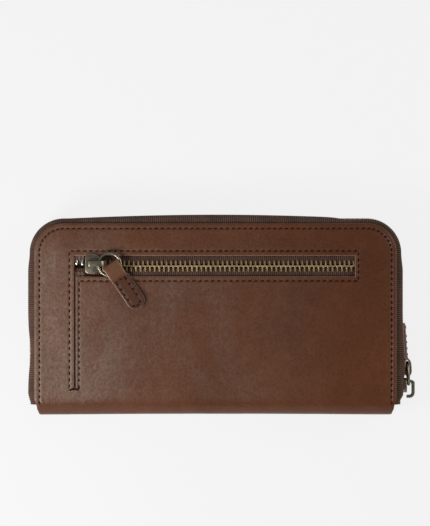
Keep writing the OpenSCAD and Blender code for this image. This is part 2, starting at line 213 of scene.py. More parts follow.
def leather(name, dark, mid, light, edge, grain=1.0, mottle=1.0, painted_sheen=0.0):
    """Waxed leather: cloudy tone, fine pebble grain and long soft creases, with a gloss that breaks up
    over the grain. Worn ridges and cut edges are paler. The last argument mixes a painted sheen, a
    pale grey, into the tone towards -x, and adds a painted shade along the top strip."""
    s = Shader(name)
    cloud = s.noise(14, 3, 0.5, distort=0.4)
    patch = s.noise(95, 4, 0.6)
    fibre = s.noise(420, 4, 0.6, s.stretch(1.0, 1.3, 1.0), 0.4)
    speck = s.noise(900, 3, 0.65)
    pebble = s.node("TexVoronoi", Vector=s.coord, Scale=620.0).outputs["Distance"]
    creases = s.noise(70, 5, 0.6, s.stretch(1.0, 0.6, 1.0), 1.2)
    streak = s.noise(430, 5, 0.7, s.stretch(1.0, 0.55, 1.0), 1.6)
    tone = s.over(dark, mid, cloud, 0.30, 0.70)
    tone = s.over(tone, light, patch, 0.50, 0.76, 0.26 * mottle)
    tone = s.over(tone, shade(dark, 0.6), speck, 0.50, 0.36, 0.30 * mottle)
    if painted_sheen:  # painted sheen: the tone is mixed towards a pale grey towards -x, broken up by the grain and held back at the bend and the top edge; it stands in for a lamp's reflection
        x, y, _ = s.split(s.coord)
        sheen_bands = s.noise(30, 2, 0.5, s.stretch(1.0, 0.35, 1.0), 0.8)
        share = s.times(s.ramp(x, 0.07, -0.085), s.ramp(speck, 0.36, 0.62, 0.75, 1.25),
                        s.ramp(streak, 0.38, 0.66, 0.7, 1.35), s.ramp(sheen_bands, 0.36, 0.62, 0.55, 1.35),
                        s.ramp(y, 0.046, 0.030, 0.5, 1.0), s.ramp(y, -0.0455, -0.042, 0.1, 1.0), painted_sheen)
        tone = s.mix(share, tone, SHEEN_GREY)
        # painted shade: darker along the top strip by the zip edge, where the leather turns away from
        # the lamps
        tone = s.over(tone, dark, y, 0.030, 0.044, 0.25)
    tone = s.over(tone, light, s.attribute("wear"), 0.0, 1.0, 0.25)
    tone = s.mix(s.attribute("cut"), tone, edge)
    gloss = s.ramp(s.math("ADD", speck, streak), 0.8, 1.2, 0.33, 0.48)
    s.bump([(creases, 0.55, 0.6), (fibre, 0.10, 0.5 * grain), (pebble, 0.11, 0.6 * grain)])
    return s.set(Base_Color=tone, Roughness=gloss, Specular_IOR_Level=0.22)


def metal(name, base, bright, dark, rough, worn=0.5, pits=1.0, metallic=1.0):
    """Old plated metal: cloudy tarnish, fine scratches and convex edges painted brighter, up to the
    worn share: rubbed wear, and where that share is raised, as on the sliders, a painted highlight
    too.
    """
    s = Shader(name)
    cloud = s.noise(260, 4, 0.6)
    scratch = s.noise(900, 3, 0.6, s.stretch(1.0, 6.0, 3.0))
    pointed = s.node("NewGeometry").outputs["Pointiness"]
    tone = s.over(dark, base, cloud, 0.4, 0.66)
    # convex edges painted brighter: rubbed wear, and on the sliders a painted highlight as well
    tone = s.over(tone, bright, pointed, 0.5, 0.56, worn)
    gloss = s.ramp(s.math("ADD", cloud, scratch), 0.75, 1.25, rough - 0.08, rough + 0.12)
    s.bump([(cloud, 0.03, 0.25 * pits), (scratch, 0.012, 0.5 * pits)])
    return s.set(Base_Color=tone, Roughness=gloss, Metallic=metallic)


def tape_cloth(name, dark, light, painted_shade_v=None):
    """Zip tape: ribs across it and a fine woven herringbone, from its own U and V in millimetres.
    The last argument, if given, is the V below which it is painted darker towards its sewn edge: a
    painted shade near the leather's edge at the window."""
    s = Shader(name)
    u, v, _ = s.split(s.uv)
    ribs = s.wave(u, 1.1)
    weave = s.times(ribs, s.wave(v, 0.55))
    fuzz = s.noise(1400, 4, 0.7)
    tone = s.over(dark, light, ribs, -1.0, 1.0)
    tone = s.over(tone, dark, s.noise(120, 3, 0.6), 0.35, 0.7, 0.5)
    tone = s.over(tone, light, fuzz, 0.5, 0.8, 0.3)
    # painted shade: darker towards the sewn edge, standing in for the shadow of the leather's edge
    # over the window
    if painted_shade_v:
        tone = s.over(tone, shade(dark, 0.3), v, painted_shade_v, painted_shade_v - 1.1, 0.8)
    s.bump([(ribs, 0.09, 0.8), (weave, 0.04, 0.6), (fuzz, 0.03, 0.5)])
    return s.set(Base_Color=tone, Roughness=0.9, Specular_IOR_Level=0.2, Sheen_Weight=0.06)


def woven(name, dark, light):
    """Plain woven lining cloth."""
    s = Shader(name)
    x, y, z = s.split(s.coord)
    pitch = 0.34 * MM
    weave = s.times(s.wave(x, pitch), s.wave(s.math("ADD", y, z), pitch))
    slub = s.noise(300, 4, 0.6, s.stretch(1.0, 0.15, 1.0))
    tone = s.over(dark, light, weave, -1.0, 1.0)
    tone = s.over(tone, dark, slub, 0.4, 0.7, 0.5)
    s.bump([(slub, 0.05, 0.4), (weave, 0.06, 0.6)])
    return s.set(Base_Color=tone, Roughness=0.8, Sheen_Weight=0.3, Sheen_Roughness=0.5)


def thread(name, dark, light):
    """Waxed sewing thread, with a fine mottle along its ply."""
    s = Shader(name)
    ply = s.noise(2600, 2, 0.5, s.stretch(1.0, 0.4, 1.0))
    tone = s.over(dark, light, ply, 0.35, 0.65)
    s.bump([(ply, 0.05, 0.7)])
    return s.set(Base_Color=tone, Roughness=0.8, Specular_IOR_Level=0.1)


def board(name, dark, light):
    """Grey-brown stiffening board with flecks."""
    s = Shader(name)
    fleck = s.noise(900, 5, 0.7)
    tone = s.over(dark, light, fleck, 0.35, 0.7)
    s.bump([(fleck, 0.04, 0.5)])
    return s.set(Base_Color=tone, Roughness=0.9)


# Pale grey of the painted sheen, mixed into the outer leather towards -x (up to 0.18), where it stands
# in for a lamp's reflection.
SHEEN_GREY = (0.25, 0.215, 0.18)
LEATHER = leather("leather", (0.057, 0.0170, 0.0056), (0.088, 0.027, 0.0096),
                  (0.125, 0.048, 0.021), (0.30, 0.17, 0.105), painted_sheen=0.18)
TAB_LEATHER = leather("tab_leather", (0.048, 0.0170, 0.0090), (0.067, 0.025, 0.0135),
                      (0.098, 0.042, 0.025), (0.30, 0.19, 0.14), grain=0.7, mottle=0.5)
LOOP_LEATHER = leather("loop_leather", (0.078, 0.032, 0.0165), (0.112, 0.048, 0.025),
                       (0.14, 0.062, 0.034), (0.30, 0.18, 0.11), grain=0.6, mottle=0.5)
THREAD = thread("thread", (0.010, 0.0025, 0.0015), (0.024, 0.006, 0.003))
TAPE = tape_cloth("zip_tape", (0.024, 0.0105, 0.0065), (0.108, 0.061, 0.041))
# The pocket tape is painted darker from V 5.7 towards its sewn edge: a painted shade near the window's
# leather edge.
POCKET_TAPE = tape_cloth("pocket_zip_tape", (0.020, 0.0085, 0.0055), (0.104, 0.056, 0.038), 5.7)
# A paler copy of the zip tape for the folded ends: a painted highlight, the light that the fold
# catches.
LIT_FOLD_TAPE = tape_cloth("zip_tape_fold_lit", (0.06, 0.034, 0.025), (0.16, 0.105, 0.082))
TEETH = metal("zip_teeth", (0.30, 0.215, 0.105), (0.46, 0.36, 0.20), (0.235, 0.165, 0.078),
              0.42, pits=0.2, metallic=0.6)
# worn=0.85 paints the slider's convex edges, such as the crown's lower edge, much brighter: rubbed
# wear and a painted highlight.
SLIDER = metal("slider_metal", (0.050, 0.045, 0.029), (0.40, 0.35, 0.26), (0.034, 0.030, 0.019),
               0.35, worn=0.85)
STOPS = metal("zip_stops", (0.70, 0.68, 0.62), (0.95, 0.94, 0.9), (0.4, 0.38, 0.33), 0.22)
LINING = woven("lining", (0.10, 0.062, 0.044), (0.21, 0.145, 0.11))
BOARD = board("board", (0.30, 0.24, 0.165), (0.45, 0.37, 0.27))

# ---- Mesh helpers ----


def add_mesh(name, verts, faces, material, uv=None):
    """A smooth mesh object from points in millimetres. uv is one (u, v) for each vertex."""
    mesh = bpy.data.meshes.new(name)
    mesh.from_pydata([tuple(c * MM for c in v) for v in verts], [], faces)
    mesh.shade_smooth()
    if uv is not None:
        layer = mesh.uv_layers.new(name="run")
        index = np.zeros(len(mesh.loops), int)
        mesh.loops.foreach_get("vertex_index", index)
        layer.data.foreach_set("uv", np.array(uv, float)[index].ravel())
    mesh.materials.append(material)
    return new_object(name, mesh)


def from_bmesh(name, bm, material, scale=MM):
    """A smooth mesh object from a bmesh, which is in millimetres unless scale says otherwise."""
    bmesh.ops.recalc_face_normals(bm, faces=bm.faces)
    mesh = bpy.data.meshes.new(name)
    bm.to_mesh(mesh)
    bm.free()
    mesh.transform(Matrix.Scale(scale, 4))
    mesh.shade_smooth()
    mesh.materials.append(material)
    return new_object(name, mesh)


def edit(obj, change):
    """Runs change(bm) on an object's mesh."""
    bm = bmesh.new()
    bm.from_mesh(obj.data)
    change(bm)
    bm.to_mesh(obj.data)
    bm.free()


def shade_by_angle(obj, degrees):
    """Smooth shading that keeps edges sharper than this angle."""
    def change(bm):
        for edge in bm.edges:
            if len(edge.link_faces) == 2:
                edge.smooth = edge.calc_face_angle() < math.radians(degrees)

    edit(obj, change)


def weld(bm):
    """Joins points that coincide, and turns the faces out."""
    bmesh.ops.remove_doubles(bm, verts=bm.verts, dist=1e-6)
    bmesh.ops.recalc_face_normals(bm, faces=bm.faces)


def move(*offset):
    return Matrix.Translation(offset)


def turn_z(degrees):
    return Matrix.Rotation(math.radians(degrees), 4, "Z")


def finish_piece(obj, body, slot, *nodes):
    """Rides the piece on its body and hides the CAD nodes that it stands for."""
    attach(obj, body)
    if nodes:
        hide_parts(*nodes)
    return obj


def bell(x, width):
    return math.exp(-((x / width) ** 2))


def smooth(x):
    x = min(max(x, 0.0), 1.0)
    return x * x * (3 - 2 * x)


RIM_STEPS = 5  # faces round a sheet's edge


def thick_sheet(name, verts, faces, thickness, bulge, material, open_at=None, wear=None, pale=None,
                transform=None):
    """A sheet with a rounded rim. The points are its upper face, drawn `bulge` inside its outline.
    open_at(point) is true where the rim stays open, wear(point) is how worn the point is, and
    pale(point) is how pale its cut edge is."""
    bm = bmesh.new()
    cut = bm.verts.layers.float.new("cut")
    worn = bm.verts.layers.float.new("wear")
    made = [bm.verts.new(v) for v in verts]
    for face in faces:
        bm.faces.new([made[i] for i in face])
    bmesh.ops.remove_doubles(bm, verts=bm.verts, dist=1e-4)
    bm.normal_update()
    bm.verts.index_update()
    top = list(bm.verts)
    normals = [v.normal.copy() for v in top]
    outward = {}
    borders = [e for e in bm.edges if len(e.link_faces) == 1]
    for e in borders:
        face = e.link_faces[0]
        side = (e.verts[1].co - e.verts[0].co).normalized().cross(face.normal)
        if side.dot(face.calc_center_median() - e.verts[0].co) > 0:
            side = -side
        for v in e.verts:
            outward[v] = outward.get(v, Vector()) + side
    low = {v: bm.verts.new(v.co - n * thickness) for v, n in zip(top, normals)}
    for face in list(bm.faces):
        bm.faces.new([low[v] for v in reversed(face.verts)])
    rims = {}
    for v, side in outward.items():
        n, side = v.normal.copy(), side.normalized()
        rims[v] = [v]
        for i in range(1, RIM_STEPS):
            a = math.pi * i / RIM_STEPS
            point = v.co - n * thickness / 2 + n * (math.cos(a) * thickness / 2)
            rims[v].append(bm.verts.new(point + side * bulge * math.sin(a) ** 0.55))
            rims[v][-1][cut] = math.sin(a) ** 0.5 * (pale(v.co) if pale else 1.0)
        rims[v].append(low[v])
    for e in borders:
        if open_at and all(open_at(v.co) for v in e.verts):
            continue
        a, b = (rims[v] for v in e.verts)
        for i in range(RIM_STEPS):
            bm.faces.new([a[i], b[i], b[i + 1], a[i + 1]])
    loose = [v for v in bm.verts if not v.link_faces]
    bmesh.ops.delete(bm, geom=loose, context="VERTS")
    if wear:
        for v in bm.verts:
            v[worn] = wear(v.co)
    if transform is not None:
        bmesh.ops.transform(bm, matrix=transform, verts=bm.verts)
    return from_bmesh(name, bm, material)


def grid_faces(rows, columns, keep=None):
    """Quads of a grid whose points are numbered row by row."""
    return [
        (r * columns + c, r * columns + c + 1, (r + 1) * columns + c + 1, (r + 1) * columns + c)
        for r in range(rows - 1)
        for c in range(columns - 1)
        if keep is None or keep(r, c)
    ]


def band_faces(rows, columns, closed=False):
    """Quads between rows of points that each close on themselves, and from the last row to the first
    where closed."""
    quads = []
    for r in range(rows if closed else rows - 1):
        near, far = r * columns, (r + 1) % rows * columns
        for c in range(columns):
            n = (c + 1) % columns
            quads.append((near + c, near + n, far + n, far + c))
    return quads


def turned(quads):
    """The quads with their other side out."""
    return [(a, d, c, b) for a, b, c, d in quads]


def moved(faces, first):
    """The faces with their points numbered from `first`."""
    return [tuple(first + i for i in face) for face in faces]


def spaced(low, high, step, extra=(), near=()):
    """Values from low to high, about a step apart, with the extra ones and fine ones about each of
    `near`."""
    values = set(np.linspace(low, high, max(2, round((high - low) / step) + 1)).tolist())
    wanted = set(extra) | {n + d for n in near for d in (-1.0, -0.55, -0.25, 0, 0.25, 0.55, 1.0)}
    wanted = {w for w in wanted if low < w < high}
    return sorted({v for v in values if all(abs(v - w) > 0.12 for w in wanted)} | wanted)


# ---- The panel's outline and seams ----

SIDE_RUN = CORNER_Y - (SPINE_Y + 5)  # straight side of the zip, up to the corner
ARC_RUN = CORNER_R * math.pi / 2
TOP_RUN = 2 * CORNER_X
ALL_RUN = 2 * SIDE_RUN + 2 * ARC_RUN + TOP_RUN


def round_edge(s, radius, start_y):
    """Point and turn `s` along a line round the three zipped sides, `radius` from the centres of its
    corners. It starts on the right, at start_y."""
    arc = radius * math.pi / 2
    s -= CORNER_Y - start_y
    if s < 0:
        return (CORNER_X + radius, CORNER_Y + s), 0.0
    if arc <= s < arc + TOP_RUN:
        return (CORNER_X + arc - s, CORNER_Y + radius), math.pi / 2
    x, turn = (CORNER_X, s / radius) if s < arc else (-CORNER_X, (s - TOP_RUN) / radius)
    if turn < math.pi:
        return (x + radius * math.cos(turn), CORNER_Y + radius * math.sin(turn)), turn
    return (x - radius, CORNER_Y + 2 * arc + TOP_RUN - s), math.pi


def outline(s, out=0.0):
    """Point and outward direction `s` along the panel's edge, from its lower right end, moved out by
    `out`."""
    base, turn = round_edge(s, CORNER_R, CORNER_Y - SIDE_RUN)
    side = Vector((math.cos(turn), math.sin(turn)))
    return Vector(base) + side * out, side


def edge_distance(x, y):
    """How far inside the panel's three zipped edges a point is."""
    if abs(x) > CORNER_X and y > CORNER_Y:
        return CORNER_R - math.hypot(abs(x) - CORNER_X, y - CORNER_Y)
    return min(HALF_W - abs(x), TOP_Y - y)


# The pocket's seam: one closed line round the zip and down both sides of the slit
SEAM_TOP, SEAM_RIGHT, SEAM_LOW = 36.0, 76.3, 20.0
SEAM_LEFT, SEAM_INNER, SEAM_FOOT = -78.0, -72.9, -37.8
POCKET_SEAM = [(SEAM_LEFT, SEAM_FOOT), (SEAM_LEFT, SEAM_TOP), (SEAM_RIGHT, SEAM_TOP),
               (SEAM_RIGHT, SEAM_LOW), (SEAM_INNER, SEAM_LOW), (SEAM_INNER, SEAM_FOOT)]


WINDOW = ((WINDOW_X0, WINDOW_Y - WINDOW_H / 2), (WINDOW_X1, WINDOW_Y + WINDOW_H / 2))
SLIT = ((WINDOW_X0 + SLIT_W / 2, SLIT_Y0), (WINDOW_X0 + SLIT_W / 2, WINDOW_Y))


def closed_runs(path):
    """The two ends of each run of a closed path."""
    return zip(path, path[1:] + path[:1])


def box_distance(x, y, a, b):
    """How far outside the box with these two corners a point is."""
    dx = max(min(a[0], b[0]) - x, x - max(a[0], b[0]), 0.0)
    dy = max(min(a[1], b[1]) - y, y - max(a[1], b[1]), 0.0)
    return math.hypot(dx, dy)


def ripple(x, y, size, seed):
    """Slow unevenness of the hide, from -1 to 1."""
    return noise.noise(Vector((x / size, y / size, seed)))


def cover_height(x, y, pocket):
    """Height of the leather above its flat face: seam grooves, the swells beside them, slow waves."""
    d = edge_distance(x, y)
    fade = smooth((y - SEAM_END_Y) / 1.5)
    h = -0.30 * bell(d - SEAM_IN, 0.5) * fade
    h += 0.16 * bell(d - SEAM_IN + 1.5, 0.9) * fade + 0.10 * bell(d - SEAM_IN - 1.5, 1.1) * fade
    h -= 0.35 * bell(d, 0.8)
    h += 0.16 * ripple(x, y, 34, 1.7) + 0.05 * ripple(x, y, 11, 5.1)
    if pocket:
        seam = min(box_distance(x, y, *ends) for ends in closed_runs(POCKET_SEAM))
        window, slit = box_distance(x, y, *WINDOW), box_distance(x, y, *SLIT)
        h += -0.26 * bell(seam, 0.5) + 0.10 * bell(seam - 1.3, 0.8)
        h += 0.20 * bell(window - 0.7, 0.8) + 0.22 * bell(slit - 1.2, 0.9)
    return h


def spine_point(along, x):
    """Point `along` the bend from the flat panel to the middle of the spine, above the upper half."""
    arc = SPINE_R * math.pi / 2
    if along < arc:
        a = along / SPINE_R
        y, z = FOLD_Y - SPINE_R * math.sin(a), THICK - SPINE_R + SPINE_R * math.cos(a)
    else:
        y, z = SPINE_Y, THICK - SPINE_R - (along - arc)
    narrow = 1.5 * smooth((FOLD_Y - y) / 4.6) + 1.0 * smooth((FOLD_Y - 4.6 - y) / 3.4)
    y += (0.35 * (1 - (x / HALF_W) ** 2) - 0.45) * smooth((FOLD_Y - y) / SPINE_R)
    return y, z, narrow


def make_cover(name, pocket):
    """Outer leather of one half, from the zip's edge to the middle of the spine, as one bent hide.
    It is made for the rear half, and turned over for the front."""
    rim = 0.4  # how far the rounded edge stands out
    fine = [rim, 0.75, 1.15, 1.6, 2.0, 2.35, 2.65, 2.85, 3.0, 3.15, 3.35, 3.65, 4.05, 4.6, 5.3, 6.3,
            7.6, 9.2, 11.4, 13.2, 14.0, 14.45, 14.75, 15.0, 15.25, 15.6, CORNER_R]
    left, right, slit_right = WINDOW_X0 - rim, WINDOW_X1 + rim, WINDOW_X0 + SLIT_W + rim
    low, high, slit_low = WINDOW[0][1] - rim, WINDOW[1][1] + rim, SLIT_Y0 - rim
    xs_wanted, ys_wanted = (), ()
    if pocket:
        xs_wanted = ((left, right, slit_right, left - 0.5, slit_right + 0.5, right + 0.5),
                     (SEAM_LEFT, SEAM_INNER, SEAM_RIGHT))
        ys_wanted = ((low, high, slit_low, low - 0.5, high + 0.5), (SEAM_TOP, SEAM_LOW, SEAM_FOOT))
    xs = spaced(-CORNER_X, CORNER_X, 1.25, *xs_wanted)
    ys = spaced(FOLD_Y, CORNER_Y, 1.5, *ys_wanted)
    verts, faces = [], []

    def patch(points, keep=None):
        faces.extend(moved(grid_faces(len(points), len(points[0]), keep), len(verts)))
        for row in points:
            verts.extend(row)

    def flat(x, y):
        return (x, y, THICK + cover_height(x, y, pocket))

    def whole_here(r, c):
        x, y = (xs[c] + xs[c + 1]) / 2, (ys[r] + ys[r + 1]) / 2
        in_window = left < x < right and low < y < high
        in_slit = left < x < slit_right and slit_low < y < low + 0.1
        return not (pocket and (in_window or in_slit))

    patch([[flat(x, y) for x in xs] for y in ys], whole_here)
    patch([[flat(x, TOP_Y - d) for x in xs] for d in reversed(fine)])
    turns = np.linspace(0, math.pi / 2, 15)
    for side in (-1, 1):
        strip = [[flat(side * (HALF_W - d), y) for d in reversed(fine)] for y in ys]
        corner = [[flat(side * (CORNER_X + (CORNER_R - d) * math.cos(a)),
                        CORNER_Y + (CORNER_R - d) * math.sin(a)) for d in reversed(fine)]
                  for a in turns]
        for part in (strip, corner):
            patch(part if side > 0 else [row[::-1] for row in part])
    bent = SPINE_R * math.pi / 2
    bend = [*np.linspace(0, bent, 15)[1:], bent + 1.1, bent + 2.2, bent + 3.3,
            bent + THICK - SPINE_R - MID_Z]
    columns = [-(HALF_W - d) for d in fine[:-1]] + xs + [HALF_W - d for d in reversed(fine[:-1])]
    rows = [[flat(x, FOLD_Y) for x in columns]]
    for along in bend:
        rows.append([])
        a = min(along / SPINE_R, math.pi / 2)
        for x in columns:
            y, z, narrow = spine_point(along, x)
            h = cover_height(x, y, False)
            rows[-1].append((x * (1 - narrow / HALF_W), y - h * math.sin(a), z + h * math.cos(a)))
    patch(rows[::-1])
    over = None if pocket else move(0, 0, THICK) @ Matrix.Diagonal((1, 1, -1, 1))

    def worn(p):
        h = cover_height(p.x, p.y, pocket) if p.z > THICK - 3 else 0.0
        return min(max(h * 2.6, 0.0), 1.0)

    def pale(p):
        return 1.0 if pocket and box_distance(p.x, p.y, *WINDOW) < 1.5 else 0.3

    return thick_sheet(name, verts, faces, LEATHER_T, rim, LEATHER, lambda p: p.z < MID_Z + 0.05,
                       worn, pale, over)


def make_stitches(name, places, body, slot, thread_r=0.33, length=1.95, slant=9, seed=3):
    """Stitches of a seam. places: (point, direction along the seam, surface normal)."""
    rng = random.Random(seed)
    verts, faces = [], []
    rings, sides = 7, 8
    tube = band_faces(rings, sides)
    tube += [tuple(reversed(range(sides))), tuple(range((rings - 1) * sides, rings * sides))]
    for point, along, up in places:
        turn = Matrix.Rotation(math.radians(slant + rng.uniform(-4, 4)), 3, up)
        along = (turn @ along).normalized()
        across = up.cross(along).normalized()
        reach = length * rng.uniform(0.94, 1.05) / 2
        faces += moved(tube, len(verts))
        for t in np.linspace(-1, 1, rings):
            radius = thread_r * (0.5 + 0.5 * math.sqrt(max(1 - t ** 4, 0)))
            centre = point + along * (t * reach) + up * (0.24 - 0.50 * t ** 4)
            for a in np.linspace(0, 2 * math.pi, sides, endpoint=False):
                verts.append(centre + across * (radius * math.cos(a))
                             + up * (0.8 * radius * math.sin(a)))
    return finish_piece(add_mesh(name, verts, faces, THREAD), body, slot)


def perimeter_places(pocket):
    """Stitches along the zipped edges, on the upper or the under face."""
    places = []
    pitch, inset = 3.15, 1.0  # inset from either end
    count = int((ALL_RUN - 2 * inset) / pitch)
    sign = 1 if pocket else -1
    for s in np.linspace(inset, ALL_RUN - inset, count + 1):
        p, side = outline(s, -SEAM_IN)
        rise = cover_height(p.x, p.y, pocket)
        if p.y < FOLD_Y:
            rise -= SPINE_R - math.sqrt(SPINE_R ** 2 - (FOLD_Y - p.y) ** 2)
        z = (THICK if pocket else 0) + sign * rise
        places.append((Vector((p.x, p.y, z)), Vector((-side.y, side.x, 0)), Vector((0, 0, sign))))
    return places


def seam_places(path, pitch):
    """Stitches along a closed path of straight runs on the upper face."""
    places = []
    for a, b in closed_runs([Vector(p) for p in path]):
        count = max(1, round((b - a).length / pitch))
        along = (b - a).normalized().to_3d()
        for i in range(count):
            p = a + (b - a) * ((i + 0.5) / count)
            places.append((Vector((*p, THICK + cover_height(*p, True))), along, UP))
    return places


def blend_to_spine(obj):
    """Bakes the piece's transform into its mesh, leaving it where it is."""
    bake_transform(obj)


def make_covers():
    for half, nodes in (("rear", ("rear_leather", "spine_leather")), ("front", ("front_leather",))):
        rear = half == "rear"
        cover = make_cover(half + "_cover", rear)
        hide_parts(*nodes)
        blend_to_spine(cover)
        make_stitches(half + "_edge_stitching", perimeter_places(rear), half + "_half", "leather",
                      seed=3 if rear else 4)
    places = seam_places(POCKET_SEAM, 3.3)
    for i, dy in enumerate((-0.35, 0.1, 0.45)):  # bar tack at the foot of the slit
        for dx in (0.9, 2.5, 4.1):
            point = Vector((SEAM_LEFT + dx + 0.4 * i, SEAM_FOOT + dy, THICK - 0.05))
            places.append((point, Vector((1, 0.1, 0)), UP))
    make_stitches("pocket_stitching", places, "rear_half", "leather", length=2.1, slant=4, seed=5)


make_covers()

# ---- Zip tapes and teeth ----


def sweep(name, stations, material):
    """A strip with closed ends through stations: (points of its section in order, u in mm)."""
    verts, uv = [], []
    n = len(stations[0][0])
    for section, u in stations:
        v = 0.0
        for i, p in enumerate(section):
            if i:
                v += (Vector(p) - Vector(section[i - 1])).length
            verts.append(p)
            uv.append((u, v))
    faces = band_faces(len(stations), n)
    for i in range(n // 2 - 1):
        quad = (i, i + 1, n - 2 - i, n - 1 - i)
        faces += [quad[::-1], *moved([quad], len(verts) - n)]
    return add_mesh(name, verts, faces, material, uv)


def thicken(line, t):
    """Closed outline of a strip of thickness t about an open line of 2D points."""
    a, b = [], []
    for i, p in enumerate(line):
        after, before = line[min(i + 1, len(line) - 1)], line[max(i - 1, 0)]
        d = Vector((after[0] - before[0], after[1] - before[1])).normalized() * (t / 2)
        a.append((p[0] - d.y, p[1] + d.x))
        b.append((p[0] + d.y, p[1] - d.x))
    return a + b[::-1]


def curve_through(points, steps):
    """Catmull-Rom line through 2D points."""
    full = [points[0], *points, points[-1]]
    line = []
    for i in range(1, len(full) - 2):
        p0, p1, p2, p3 = (Vector(p) for p in full[i - 1:i + 3])
        for k in range(steps):
            t = k / steps
            line.append(0.5 * (2 * p1 + (p2 - p0) * t + (2 * p0 - 5 * p1 + 4 * p2 - p3) * t * t
                               + (3 * p1 - p0 - 3 * p2 + p3) * t ** 3))
    return [tuple(p) for p in line] + [tuple(points[-1])]


def strip_section(points, t):
    """Closed outline of a strip of thickness t about a smooth line through 2D points."""
    return thicken(curve_through(points, 3), t)


def tape_bulge(s):
    """How far the main zip's tape stands out past the leather, along its run."""
    from_end = ALL_RUN - s
    top_share = (s - SIDE_RUN - ARC_RUN) / TOP_RUN
    bulge = 2.3
    if 0 <= top_share <= 1:
        bulge += 2.1 * math.sin(math.pi * top_share) ** 0.9
    else:
        bulge += 0.8 * smooth(max(SIDE_RUN - s, SIDE_RUN - from_end, 0.0) / 10.0)
    if s < 50:  # it lies closer in beside the main slider
        bulge += 1.0 * smooth((50 - s) / 30) - 0.75 * smooth((15.5 - s) / 2.5)
    bulge -= 1.2 * bell(from_end - 28, 11)
    bulge -= 1.0 * bell(s - SIDE_RUN - ARC_RUN - 9, 7)  # a few teeth show
    if s < 5:
        return bulge * (0.15 + 0.85 * s / 5)
    return bulge * (0.25 + 0.75 * math.sqrt(min(max(from_end / 6.0, 0.0), 1.0)))


def make_main_tape(half):
    stations = []
    low, t = LEATHER_T + 0.3, 0.45
    for s in np.linspace(0, ALL_RUN, int(ALL_RUN / 1.2) + 1):
        b = tape_bulge(s) - 0.25
        line = [(-3.6, low), (-0.6, low + 0.02), (b * 0.6, low + 0.4), (b * 0.95, low + 1.5),
                (b, low + 2.7), (b * 0.7 + 0.35, low + 4.3), (CHAIN_OUT + 0.3, low + 5.8),
                (CHAIN_OUT, low + 8.0), (CHAIN_OUT, MID_Z - 1.25)]
        stations.append(([(*outline(s, o)[0], THICK - z if half == "rear" else z)
                          for o, z in strip_section(line, t)], s))
    finish_piece(sweep(f"main_tape_{half}_cloth", stations, TAPE), half + "_half", "zip_tape",
                 "main_tape_" + half)


def tooth_section():
    """Outline of one tooth across the chain: (across, out). Its tape comes in on the + side."""
    upper = [(-0.46, 0.35), (-0.45, 0.98), (-0.38, 1.1), (-0.2, 1.14), (0.40, 1.14), (0.56, 1.06),
             (1.9, 1.05), (2.6, 1.03), (2.88, 0.9), (3.0, 0.6), (2.95, 0.3), (1.25, 0.28)]
    return [(a, -z) for a, z in upper] + [(a, z) for a, z in reversed(upper)]


def tooth_mesh():
    """Points and faces of one cast tooth: a wide head and a narrower leg. X is along the chain."""
    section = tooth_section()
    cuts = [(-0.5, 0.88), (-0.44, 0.98), (-0.3, 1.0), (0.3, 1.0), (0.44, 0.98), (0.5, 0.88)]
    verts = []
    n = len(section)
    for x, shrink in cuts:
        for a, z in section:
            wide = 1.245 - 0.42 * smooth((a - 0.44) / 0.16)
            verts.append((x * wide, a, z * shrink))
    ends = [tuple(range(n)), tuple(reversed(range(len(verts) - n, len(verts))))]
    return verts, turned(band_faces(len(cuts), n)) + ends


def axes(x, y, z, place):
    """Matrix of a frame with these axes at a place."""
    made = Matrix((x, y, z)).transposed().to_4x4()
    made.translation = place
    return made


def chain_spots(side):
    """Matrix of each tooth of one row of the main chain, worked out from the chain's run."""
    radius = CORNER_R + CHAIN_OUT
    total = 2 * CORNER_Y - CHAIN_START_Y - CHAIN_END_Y + TOP_RUN + math.pi * radius
    spots = []
    for i in range(int(total / PITCH)):
        p, turn = round_edge((i + (side + 1) / 4) * PITCH, radius, CHAIN_START_Y)
        out = Vector((math.cos(turn), math.sin(turn), 0))
        spots.append(axes(UP.cross(out), UP * side, out, (*p, MID_Z)))
    return spots


def make_teeth(node, spots, body, seed):
    """A row of teeth as one piece, each a little uneven."""
    rng = random.Random(seed)
    shape, quads = tooth_mesh()
    verts, faces = [], []
    for m in spots:
        jitter = turn_z(rng.uniform(-0.4, 0.4))
        flip = m.determinant() < 0
        faces += moved([q[::-1] for q in quads] if flip else quads, len(verts))
        verts += [m @ jitter @ Vector(v) for v in shape]
    made = add_mesh(node + "_cast", verts, faces, TEETH)
    shade_by_angle(made, 50)
    finish_piece(made, body, "zip_teeth", node)


def pocket_spots(side):
    return [axes(Vector((1, 0, 0)), Vector((0, side, 0)), UP,
                 (POCKET_CHAIN_X + (i + (side + 1) / 4) * PITCH, WINDOW_Y, POCKET_Z))
            for i in range(int(POCKET_CHAIN_L / PITCH))]


def strip_along_x(name, xs, section, material, stretch=1.0):
    """A strip along X. section(x) gives its outline: (y, z)."""
    return sweep(name, [([(x, y, z) for y, z in section(x)], x * stretch) for x in xs], material)


def beside_chain(line, t, side):
    """Section of a strip beside the pocket's chain, from a line of (out from the chain, up)."""
    return [(WINDOW_Y + side * a, POCKET_Z + z) for a, z in strip_section(line, t)]


def make_pocket_tape(node, side):
    """One tape of the pocket's zip, with the cord along its inner edge."""
    lo, hi = box_mm(node)

    def section(x):
        wave = 0.05 * ripple(x, side * 9, 12, 2.2)
        line = [(9.8, -0.1), (6, -0.05 + wave), (3.6, wave), (2.2, 0.05 + wave), (1.15, 0.0)]
        return beside_chain(line, 0.42, side)

    made = strip_along_x(node + "_cloth", np.arange(lo.x, hi.x, 1.6), section, POCKET_TAPE)
    finish_piece(made, "rear_half", "zip_tape", node)


